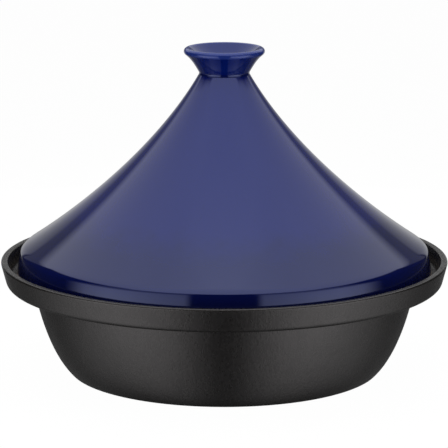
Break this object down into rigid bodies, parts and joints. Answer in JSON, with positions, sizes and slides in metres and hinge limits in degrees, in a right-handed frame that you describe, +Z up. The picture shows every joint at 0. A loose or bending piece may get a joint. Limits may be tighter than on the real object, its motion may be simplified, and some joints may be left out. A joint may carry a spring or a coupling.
{
  "type": "tagine pot",
  "caption": "Round cooking pot with a wide cast pan whose raised rim seats a tall conical glazed lid, topped by a flared hollow knob; the lid lifts straight off.",
  "frame": {"origin": "on the surface the pot stands on, under the middle of the pan's flat base", "axes": "+Z up along the axis both pieces are turned round; +X and +Y are arbitrary, because the pot is round"},
  "size_m": [0.28, 0.28, 0.2038],
  "materials": {
    "cast_iron": "satin black with a fine cast grain, a little smoother on the rim's top face and the base",
    "blue_glaze": "glossy cobalt blue glaze, bare stoneware on the foot"
  },
  "bodies": {
    "pan": {"pan": "cast_iron"},
    "lid": {"lid": "blue_glaze"}
  },
  "joints": [
    {"name": "lid_lift", "type": "slide", "parent": "pan", "child": "lid", "axis": [0, 0, 1], "range_m": [0, 0.16]}
  ]
}
